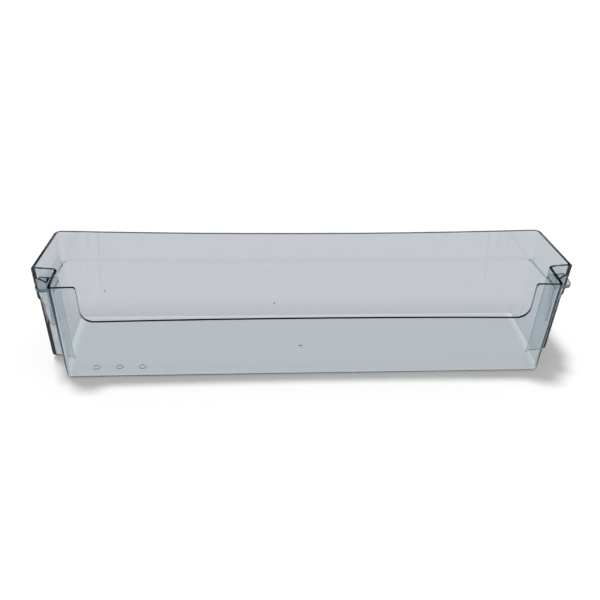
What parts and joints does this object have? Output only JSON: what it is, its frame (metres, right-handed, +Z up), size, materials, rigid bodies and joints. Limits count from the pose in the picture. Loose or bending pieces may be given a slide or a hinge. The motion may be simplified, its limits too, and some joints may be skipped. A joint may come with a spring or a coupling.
{
  "type": "fridge door shelf",
  "caption": "Clear tinted plastic tub for the inside of a fridge door, with a stepped rear, a low cut-out in the rear wall, and a lug with a guide rib at each end to hang it by.",
  "frame": {"origin": "middle of the base, on the underside of the floor", "axes": "+X along the shelf to the right as seen from the door side, +Y away from the door towards the front wall, +Z up"},
  "size_m": [0.48, 0.1078, 0.0962],
  "materials": {
    "clear_plastic": "clear, lightly tinted grey-blue, polished"
  },
  "bodies": {
    "root": {"door_shelf": "clear_plastic"}
  },
  "joints": []
}
